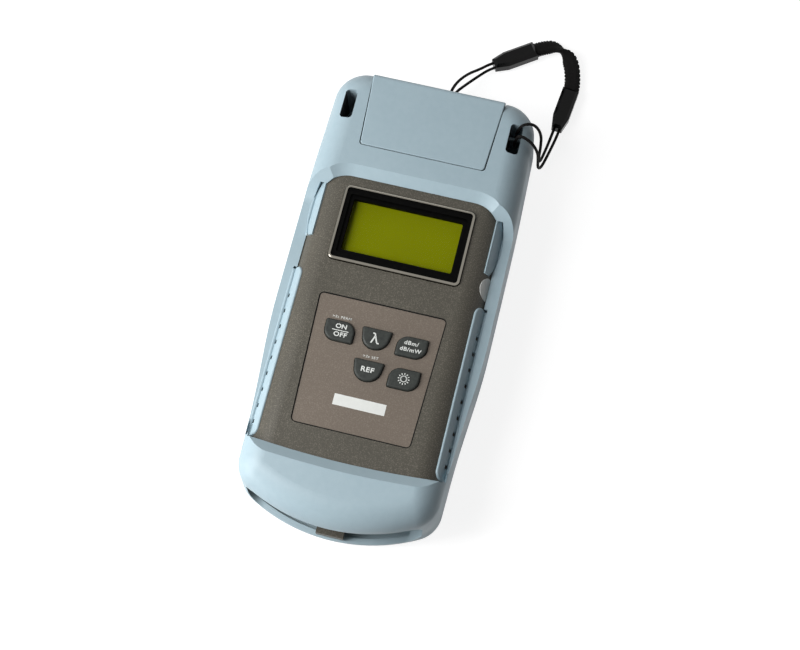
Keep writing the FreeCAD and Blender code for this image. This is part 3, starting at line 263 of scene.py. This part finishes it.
BOOT = boot_rubber("boot_rubber")
COVER = boot_rubber("cover_rubber")
GRIP = boot_rubber("grip_rubber")
CASE = case_plastic("case_plastic", linear(80, 77, 69), linear(140, 134, 122))
PANEL = case_plastic("panel_plastic", linear(114, 104, 94), linear(150, 140, 128))
# Painted shade for the narrow gaps round the port cover.
SEAM_SHADE = shaded_rim("seam_shade")
# Painted shade: a dark colour for the inside walls of the strap slots.
SLOT_SHADE = plain("slot_shade", linear(30, 35, 37), 0.8)
# Painted shade: a near-black colour for the groove round the key panel.
GROOVE_SHADE = black_plastic("groove_shade", 20, 0.7, 0.08)
KEYS = key_rubber("key_rubber")
CHROME = chrome("rim_chrome")
MASK = black_plastic("mask_black", 3, 0.5, 0.03)
BLACK = black_plastic("strap_black", 4, 0.14, 0.14)
STEEL = metal("steel", (0.6, 0.6, 0.6), 0.28)
INK = plain("key_ink", linear(225, 228, 224), 0.5, linear(205, 208, 204))
WHITE = plain("label_white", linear(228, 230, 226), 0.45, linear(212, 214, 210))
WEAVE = cord_weave("cord_weave")

FINISHES = {
    "boot": BOOT, "port_cover": COVER, "side_grip_left": GRIP, "side_grip_right": GRIP,
    "front_shell": CASE, "rear_shell": CASE, "battery_door": CASE, "keypad_overlay": PANEL,
    "display_bezel": CHROME, "display_mask": MASK, "display_window": window_glass("window"),
    "lcd_panel": screen("display_green"), "backlight": plain("diffuser", (0.7, 0.75, 0.4), 0.4),
    "cover_hinge_pin": STEEL, "case_screws": STEEL, "battery_springs": STEEL,
    "contact_plates": STEEL, "key_contacts": STEEL,
    "fibre_adapter": metal("nickel", (0.62, 0.6, 0.56), 0.22),
    "detector_housing": metal("turned_aluminium", (0.7, 0.7, 0.7), 0.35),
    "photodiode": metal("gold_can", (0.75, 0.6, 0.3), 0.25),
    "dc_jack": black_plastic("jack_black", 14, 0.45),
    "circuit_board": plain("board_green", (0.015, 0.1, 0.04), 0.35),
    "battery_left": plain("cell_wrap", CELL_BLUE, 0.3),
    "battery_right": plain("cell_wrap_right", CELL_BLUE, 0.3),
    "side_label": WHITE, "strap_connector_a": BLACK, "strap_connector_b": BLACK,
    "strap_band": WEAVE, "strap_cord_lug": WEAVE, "strap_cord_slot": WEAVE,
    **{key: KEYS for key in KEY_NODES},
}
for node, material in FINISHES.items():
    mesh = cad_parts[node].data
    mesh.materials.clear()
    mesh.materials.append(material)


# The narrow clefts, where shade is painted onto the faces. Their places are in millimetres. An
# upright face's normal rises less than the first share, and a face that is turned some way leans at
# least the second.

UPRIGHT = 0.2
TURNED = 0.5
CLEFT_FOOT = 16
SEAT_START = 53.2
SEAT_HALF_WIDTH = 27.6
SLOT_NEAR, SLOT_FAR = 63.4, 76.1
SLOT_INSIDE, SLOT_OUTSIDE = 30.9, 36.1
GROOVE_FOOT = 33
GROOVE_HALF_WIDTH = 25.5
GROOVE_START, GROOVE_END = -60, -7


def shade_faces(node, material, inside):
    """Paints shade onto the upright faces of a CAD node that pass a test of their place and normal."""
    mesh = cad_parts[node].data
    mesh.materials.append(material)
    for face in mesh.polygons:
        if abs(face.normal.z) < UPRIGHT and inside(face.center * 1000, face.normal):
            face.material_index = len(mesh.materials) - 1


def cover_cleft(spot, normal):
    """The port cover's edges, but not the one at the head."""
    return spot.z > CLEFT_FOOT and (normal.y < -TURNED or abs(normal.x) > TURNED)


def seat_cleft(spot, normal):
    """The walls of the port cover's seat in the boot."""
    in_seat = spot.y > SEAT_START and abs(spot.x) < SEAT_HALF_WIDTH
    return spot.z > CLEFT_FOOT and in_seat and normal.y > -TURNED


def slot_cleft(spot, normal):
    """The walls of the two strap slots, but not those that face the foot."""
    along = SLOT_NEAR < spot.y < SLOT_FAR
    return along and SLOT_INSIDE < abs(spot.x) < SLOT_OUTSIDE and normal.y > -TURNED


def panel_groove(spot, normal):
    """The faces round the key panel, between the case and the overlay."""
    along = GROOVE_START < spot.y < GROOVE_END
    return along and spot.z > GROOVE_FOOT and abs(spot.x) < GROOVE_HALF_WIDTH


# Painted shade in the gaps round the port cover and on the walls of its seat.
shade_faces("port_cover", SEAM_SHADE, cover_cleft)
shade_faces("boot", SEAM_SHADE, seat_cleft)
# Painted shade on the strap slots' inside walls.
shade_faces("boot", SLOT_SHADE, slot_cleft)
# Painted shade on the faces round the key panel.
shade_faces("keypad_overlay", GROOVE_SHADE, panel_groove)
shade_faces("front_shell", GROOVE_SHADE, panel_groove)


# The stage: a floor that the camera sees as white, soft light from the left, and the photograph's
# camera. Places are in metres and turns in radians, and the lens and the sensor in millimetres.

LENS = 65.25
SENSOR = 36
CAMERA_PLACE = (0.055845, -0.168487, 0.55897)
CAMERA_TURN = (0.298727, 0.017985, 0.242036)
CAMERA_NEAR = 0.01
SKY_COLOUR = (0.98, 0.98, 1.0, 1)
SKY_FILL = 0.08
FLOOR_REACH = 3.0
FLOOR_DROP = 0.0004
FLOOR_GREY = (0.3, 0.3, 0.3, 1)
FLOOR_ROUGHNESS = 0.9
FLOOR_GLOW = 0.86
LAMP_AIM = Vector((0, 0, 0.02))
LAMPS = {
    "key_light": {"spot": (-0.34, -0.14, 0.4), "size": (0.22, 0.42), "watts": 3.1},
    "side_light": {"spot": (-0.42, -0.3, 0.12), "size": (0.3, 0.15), "watts": 1.35},
    "head_light": {"spot": (-0.32, 0.85, 0.52), "size": (0.6, 0.3), "watts": 1.4},
}

camera = bpy.data.objects.new("camera", bpy.data.cameras.new("camera"))
camera.data.lens = LENS
camera.data.sensor_width = SENSOR
camera.data.clip_start = CAMERA_NEAR
camera.location = CAMERA_PLACE
camera.rotation_euler = CAMERA_TURN
scene.collection.objects.link(camera)
scene.camera = camera


def shown_as(tree, shader, other):
    """One shader for the camera and in metal and glass, and another one for all other rays."""
    path = tree.nodes.new("ShaderNodeLightPath")
    seen = path.outputs["Is Camera Ray"]
    for ray in ("Is Glossy Ray", "Is Transmission Ray"):
        either = tree.nodes.new("ShaderNodeMath")
        either.operation = "MAXIMUM"
        tree.links.new(seen, either.inputs[0])
        tree.links.new(path.outputs[ray], either.inputs[1])
        seen = either.outputs[0]
    mix = tree.nodes.new("ShaderNodeMixShader")
    tree.links.new(seen, mix.inputs["Fac"])
    tree.links.new(other, mix.inputs[1])
    tree.links.new(shader, mix.inputs[2])
    return mix.outputs[0]


world = bpy.data.worlds.new("studio")
scene.world = world
world.use_nodes = True
background = world.node_tree.nodes["Background"]
background.inputs["Color"].default_value = SKY_COLOUR
background.inputs["Strength"].default_value = SKY_FILL
white_sky = world.node_tree.nodes.new("ShaderNodeBackground")
white_sky.inputs["Color"].default_value = (1, 1, 1, 1)
world.node_tree.links.new(
    shown_as(world.node_tree, white_sky.outputs[0], background.outputs[0]),
    world.node_tree.nodes["World Output"].inputs["Surface"],
)

floor_mesh = bpy.data.meshes.new("floor")
floor_corners = [(-1, -1), (1, -1), (1, 1), (-1, 1)]
floor_mesh.from_pydata(
    [(x * FLOOR_REACH, y * FLOOR_REACH, 0) for x, y in floor_corners], [], [(0, 1, 2, 3)]
)
floor = bpy.data.objects.new("floor", floor_mesh)
scene.collection.objects.link(floor)
floor.location.z = -FLOOR_DROP
floor_look = bpy.data.materials.new("floor")
floor_look.use_nodes = True
floor_tree = floor_look.node_tree
floor_shader = floor_tree.nodes["Principled BSDF"]
floor_shader.inputs["Base Color"].default_value = FLOOR_GREY
floor_shader.inputs["Roughness"].default_value = FLOOR_ROUGHNESS
glow = floor_tree.nodes.new("ShaderNodeEmission")
glow.inputs["Strength"].default_value = FLOOR_GLOW
pale = floor_tree.nodes.new("ShaderNodeAddShader")
floor_tree.links.new(floor_shader.outputs[0], pale.inputs[0])
floor_tree.links.new(glow.outputs[0], pale.inputs[1])
floor_tree.links.new(
    shown_as(floor_tree, pale.outputs[0], floor_shader.outputs[0]),
    floor_tree.nodes["Material Output"].inputs["Surface"],
)
floor_mesh.materials.append(floor_look)


def softbox(name, spot, size, watts):
    lamp = bpy.data.lights.new(name, "AREA")
    lamp.shape = "RECTANGLE"
    lamp.size, lamp.size_y = size
    lamp.energy = watts
    holder = bpy.data.objects.new(name, lamp)
    holder.location = spot
    holder.rotation_euler = (LAMP_AIM - Vector(spot)).to_track_quat("-Z", "Y").to_euler()
    scene.collection.objects.link(holder)


for name, lamp in LAMPS.items():
    softbox(name, **lamp)


# Shapes that several pieces share.


def attach(obj, body, material):
    """Gives a piece its material and the body that it rides on."""
    obj.data.materials.append(material)
    scene.collection.objects.link(obj)
    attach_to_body(obj, body)
    return obj


def bend(first, control, last, u):
    """The place at share u of the way along a quadratic curve with this control point."""
    return first * (1 - u) ** 2 + control * 2 * u * (1 - u) + last * u**2


def carrier(node):
    """The body that a node with marks belongs to: a key's own one, or else the instrument."""
    return f"{node}_body" if node in KEY_NODES else "instrument"


def tube(name, spots, around, material, closed=False, smooth=False):
    """A mesh over rings of points, which ends in two caps or closes into a loop."""
    rings = len(spots) // around
    faces = [
        (n * around + m, n * around + (m + 1) % around,
         (n + 1) % rings * around + (m + 1) % around, (n + 1) % rings * around + m)
        for n in range(rings if closed else rings - 1) for m in range(around)
    ]
    if not closed:
        faces.append(tuple(reversed(range(around))))
        faces.append(tuple(range((rings - 1) * around, rings * around)))
    mesh = bpy.data.meshes.new(name)
    mesh.from_pydata(spots, [], faces)
    mesh.polygons.foreach_set("use_smooth", [smooth] * len(mesh.polygons))
    return attach(bpy.data.objects.new(name, mesh), "instrument", material)


# The keys' marks: thin white shapes that lie on the caps, and small hints on the panel. Offsets
# and sizes are in millimetres, and a mark's weight and width are shares of its usual ones.

INK_THICK = 0.00003
INK_LIFT = 0.00002
CAPITAL_SHARE = 0.72


def flat(name, node, outlines, material, thick=INK_THICK):
    """Thin plates on a CAD node's top, with these outlines in metres."""
    height = on_top(node).z
    mesh = bpy.data.meshes.new(name)
    shape = bmesh.new()
    for outline in outlines:
        face = shape.faces.new([shape.verts.new((x, y, height)) for x, y in outline])
        raised = bmesh.ops.extrude_face_region(shape, geom=[face])["geom"]
        top = [v for v in raised if isinstance(v, bmesh.types.BMVert)]
        bmesh.ops.translate(shape, verts=top, vec=(0, 0, thick))
    bmesh.ops.recalc_face_normals(shape, faces=shape.faces)
    shape.to_mesh(mesh)
    shape.free()
    return attach(bpy.data.objects.new(name, mesh), carrier(node), material)


def words(name, text, node, x, y, tall, wide=1.15, heavy=0.035, spaced=1.0):
    """Flat lettering on a CAD node's top, at an offset, with capitals as tall as this."""
    curve = bpy.data.curves.new(name, "FONT")
    curve.body = text
    curve.size = tall / 1000 / CAPITAL_SHARE
    curve.align_x = "CENTER"
    curve.align_y = "CENTER"
    curve.extrude = INK_THICK / 2
    curve.offset = tall / 1000 * heavy
    curve.space_character = spaced
    made = bpy.data.objects.new(name, curve)
    made.location = on_top(node, x, y) + Vector((0, 0, INK_LIFT))
    made.scale = (wide, 1, 1)
    return attach(made, carrier(node), INK)


def bar(middle, wide, tall, turn=0.0):
    """A rectangle's corners, from its middle in metres, its sides and its turn in degrees."""
    c, s = math.cos(math.radians(turn)), math.sin(math.radians(turn))
    a, b = wide / 2000, tall / 2000
    corners = [(-a, -b), (a, -b), (a, b), (-a, b)]
    return [(middle.x + p * c - q * s, middle.y + p * s + q * c) for p, q in corners]


def sun_bars(radius, count, wide, tall=0.36):
    """Bars at this distance round the light key's middle, each pointing away from it."""
    made = []
    for n in range(count):
        turn = n * 360 / count
        x, y = radius * math.cos(math.radians(turn)), radius * math.sin(math.radians(turn))
        made.append(bar(on_top("backlight_key", x, y), wide, tall, turn))
    return made


words("on_mark", "ON", "on_off_key", 0.4, 1.6, tall=1.75)
words("off_mark", "OFF", "on_off_key", 0.7, -1.6, tall=1.75, spaced=1.1)
flat("on_off_bar", "on_off_key", [bar(on_top("on_off_key", 0.4), wide=6.4, tall=0.3)], INK)
words("wavelength_mark", "λ", "wavelength_key", 0.0, -0.2, tall=4.0, wide=1.0, heavy=0.01)
UNIT_STYLE = {"tall": 1.55, "wide": 1.12, "heavy": 0.03, "spaced": 1.12}
words("unit_mark", "dBm/", "unit_key", -0.4, 1.3, **UNIT_STYLE)
words("unit_mark_low", "dB/mW", "unit_key", -0.2, -1.3, **UNIT_STYLE)
words("reference_mark", "REF", "reference_key", 0.0, 0.25, tall=1.95, spaced=1.1)
sun = sun_bars(radius=1.1, count=24, wide=0.42) + sun_bars(radius=1.95, count=12, wide=0.62)
flat("sun_mark", "backlight_key", sun, INK)
HINT_STYLE = {"tall": 1.0, "heavy": 0.01, "spaced": 1.15}
words("hold_mark", ">2s PERM", "keypad_overlay", -14.2, 17.5, **HINT_STYLE)
words("set_mark", ">2s SET", "keypad_overlay", 0.2, 4.9, **HINT_STYLE)


# The key panel's groove, shown by a thin frame of painted shade, and its white block, in millimetres.
# The panel's half widths are those of its corners before they are rounded. The groove's edges lie
# inside and outside them.

PANEL_HEAD_HALF, PANEL_FOOT_HALF = 24.9, 22.9
PANEL_CORNER = 2
CORNER_STEPS = 8
LINE_INNER, LINE_OUTER = -0.32, 0.14
LINE_DEPTH, LINE_RISE = 0.2, 0.06
BLOCK_WIDE, BLOCK_TALL, BLOCK_THICK = 20, 4.3, 0.04


def panel_outline(grow):
    """The key panel's rounded outline, in metres, moved outwards by some millimetres."""
    head, foot = PANEL_HEAD_HALF + grow, PANEL_FOOT_HALF + grow
    high, low = PANEL_HIGH.y * 1000 + grow, PANEL_LOW.y * 1000 - grow
    corners = [Vector(spot) for spot in ((-head, high), (-foot, low), (foot, low), (head, high))]
    points = []
    for n, corner in enumerate(corners):
        start, end = (
            corner + (corners[other % 4] - corner).normalized() * (PANEL_CORNER + grow)
            for other in (n - 1, n + 1)
        )
        for step in range(CORNER_STEPS + 1):
            points.append(bend(start, corner, end, step / CORNER_STEPS) / 1000)
    return points


def groove_shade_frame(name, inner, outer, low, high):
    """A thin closed frame of painted shade between two outlines of the panel, from one height to
    another.
    """
    loops = [(outer, low), (outer, high), (inner, high), (inner, low)]
    spots = [(p.x, p.y, z) for grow, z in loops for p in panel_outline(grow)]
    return tube(name, spots, len(spots) // len(loops), GROOVE_SHADE, closed=True)


# A thin dark frame of painted shade along the panel's groove.
line_low, line_high = PANEL_HIGH.z - LINE_DEPTH / 1000, PANEL_HIGH.z + LINE_RISE / 1000
groove_shade_frame("panel_groove_shade", LINE_INNER, LINE_OUTER, line_low, line_high)
block = bar(on_top("keypad_overlay", 0.6, -13.9), BLOCK_WIDE, BLOCK_TALL)
flat("rating_patch", "keypad_overlay", [block], WHITE, BLOCK_THICK / 1000)


# The lips of the boot's wall that cover the gaps beside the grips, in millimetres. The section's
# points are shares of the way from the inner to the outer edge, with their heights. A route's
# points are places along the boot, with both edges. The right lips lie lower, so that the seam
# there reads dark.

LIP_SECTION = [(0.0, 26.4), (1.0, 26.4), (1.0, 27.7), (0.7, 27.9), (0.36, 27.85), (0.02, 27.6)]
LONG_LIP = [(-68.5, 37.45, 38.7), (-67.5, 37.45, 38.7), (0.0, 37.45, 38.7), (0.8, 37.45, 38.7)]
SHORT_LIP = [
    (15.2, 36.2, 37.6), (16.0, 36.5, 37.6), (17.5, 37.1, 37.65), (19.0, 37.4, 37.85),
    (22.0, 37.5, 38.45), (25.0, 37.5, 38.7), (28.0, 37.5, 38.65), (31.0, 37.5, 38.35),
    (32.5, 37.45, 38.0), (34.0, 37.25, 37.7), (35.5, 36.9, 37.6), (37.0, 36.3, 37.6),
    (38.0, 35.9, 37.6),
]
LIP_END_DROP = 0.25
RIGHT_LIP_DROP = 0.9


def wall_lip(name, side, route, drop):
    """A thin lip inside the boot's wall, on one side, that dips at both of its ends."""
    spots = []
    for n, (y, inner, outer) in enumerate(route):
        down = drop + (LIP_END_DROP if n in (0, len(route) - 1) else 0.0)
        for share, z in LIP_SECTION:
            x = side * (inner + (outer - inner) * share)
            spots.append((x / 1000, y / 1000, (z - down) / 1000))
    lip = tube(name, spots, len(LIP_SECTION), BOOT)
    shape = bmesh.new()
    shape.from_mesh(lip.data)
    bmesh.ops.recalc_face_normals(shape, faces=shape.faces)
    shape.to_mesh(lip.data)
    shape.free()
    return lip


for kind, route in (("wall_lip", LONG_LIP), ("short_lip", SHORT_LIP)):
    wall_lip(f"{kind}_left", -1, route, 0.0)
    wall_lip(f"{kind}_right", 1, route, RIGHT_LIP_DROP)


# The wrist strap. Its routes are in millimetres. The band's ribs and plait are shares of its
# half width, and its half turn is as sudden as its sharpness says.

CORD_WIDTH = 1.2
LUG_LOOP = [
    (15.57, 117.2, 3.3), (13.52, 115.77, 3.3), (11.4, 112.6, 5.2), (6.6, 106.2, 10.2),
    (3.1, 98.6, 14.2), (2.0, 91.2, 14.6), (2.0, 91.2, 7.8), (3.2, 97.8, 7.4), (7.6, 104.8, 5.2),
    (12.6, 111.6, 3.6), (14.78, 113.96, 3.3), (16.83, 115.4, 3.3),
]
SLOT_LOOP = [
    (47.11, 93.42, 3.3), (46.82, 90.94, 3.3), (45.9, 84.8, 2.6), (44.6, 77.2, 3.6),
    (43.9, 74.6, 12.0), (43.9, 75.6, 22.0), (43.2, 77.0, 31.5), (39.6, 77.8, 37.4),
    (35.2, 75.4, 39.2), (33.9, 75.0, 33.4), (33.5, 75.0, 26.4), (33.5, 71.2, 26.4),
    (33.9, 71.2, 33.4), (35.2, 71.0, 39.2), (40.3, 70.0, 37.0), (43.4, 69.6, 30.0),
    (44.0, 70.8, 20.0), (44.4, 71.4, 10.5), (45.6, 75.0, 3.4), (47.6, 84.0, 2.6),
    (49.01, 90.69, 3.3), (49.29, 93.18, 3.3),
]
BAND_ROUTE = [
    (31.76, 127.2, 3.3), (34.22, 128.92, 3.3), (40.5, 131.4, 3.3), (47.6, 126.4, 3.3),
    (50.69, 115.16, 3.3), (50.35, 112.18, 3.3),
]
BAND_WIDTH, BAND_THICKNESS = 6.4, 2.6
BAND_STEPS, BAND_SIDES = 44, 40
TURN_SHARPNESS = 14
RIB_STEP = 0.42
BAND_CORE, RIB_DEPTH, PLAIT_DEPTH = 0.9, 0.13, 0.06


def thread(name, points, width):
    """A smooth cord along given points, in millimetres.

    Its points carry the cord's own radius, which a curve's bounds are taken from.
    """
    curve = bpy.data.curves.new(name, "CURVE")
    curve.dimensions = "3D"
    curve.bevel_depth = 1.0
    curve.bevel_resolution = 4
    curve.use_fill_caps = True
    line = curve.splines.new("NURBS")
    line.points.add(len(points) - 1)
    for point, spot in zip(line.points, points):
        point.co = (spot[0] / 1000, spot[1] / 1000, spot[2] / 1000, 1)
        point.radius = width / 2000
    line.order_u = 3
    line.use_endpoint_u = True
    line.resolution_u = 10
    return attach(bpy.data.objects.new(name, curve), "instrument", WEAVE)


def length_of(curve_object):
    """The length in metres of a curve's own line."""
    bevel = curve_object.data.bevel_depth
    curve_object.data.bevel_depth = 0
    bpy.context.view_layer.update()
    mesh = bpy.data.meshes.new_from_object(curve_object)
    ends = [[mesh.vertices[n].co for n in edge.vertices] for edge in mesh.edges]
    total = sum((a - b).length for a, b in ends)
    bpy.data.meshes.remove(mesh)
    curve_object.data.bevel_depth = bevel
    return total


def along_route(points, steps):
    """Places and directions along the smooth curve that has these control points."""
    spots = [Vector(p) / 1000 for p in points]
    ends = [spots[0]] + [(a + b) / 2 for a, b in zip(spots[1:-2], spots[2:-1])] + [spots[-1]]
    for first, control, last in zip(ends, spots[1:-1], ends[1:]):
        for n in range(steps):
            u = n / steps
            way = (control - first) * (1 - u) + (last - control) * u
            yield bend(first, control, last, u), way.normalized()


def woven_band(name, points, wide, thick):
    """A flat woven strap that turns over once between its two ends, with ribbed edges."""
    stations = list(along_route(points, BAND_STEPS))
    rings = []
    for n, (middle, way) in enumerate(stations):
        share = n / (len(stations) - 1)
        turn = math.pi / (1 + math.exp(-TURN_SHARPNESS * (share - 0.5)))
        side = way.cross(Vector((0, 0, 1))).normalized()
        rise = side.cross(way)
        across = side * math.cos(turn) + rise * math.sin(turn)
        out = rise * math.cos(turn) - side * math.sin(turn)
        phase = n * RIB_STEP
        rib = RIB_DEPTH * abs(math.sin(phase))
        for m in range(BAND_SIDES):
            angle = 2 * math.pi * m / BAND_SIDES
            strands = math.sin(2 * phase + 3 * angle) * math.sin(2 * phase - 3 * angle)
            plait = PLAIT_DEPTH * strands
            w = wide / 2000 * (BAND_CORE + rib + plait) * math.cos(angle)
            t = thick / 2000 * (1 + 2 * plait) * math.sin(angle)
            rings.append(middle + across * w + out * t)
    return tube(name, rings, BAND_SIDES, WEAVE, smooth=True)


lug_cord = thread("lug_cord", LUG_LOOP, CORD_WIDTH)
slot_cord = thread("slot_cord", SLOT_LOOP, CORD_WIDTH)
band = woven_band("band", BAND_ROUTE, BAND_WIDTH, BAND_THICKNESS)
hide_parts("strap_cord_lug")
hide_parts("strap_cord_slot")
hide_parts("strap_band")
for loop, route, fittings in (
    (lug_cord, LUG_LOOP, [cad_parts["strap_connector_a"], band]),
    (slot_cord, SLOT_LOOP, [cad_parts["strap_connector_b"]]),
):
    length_of(loop)


bpy.context.view_layer.update()
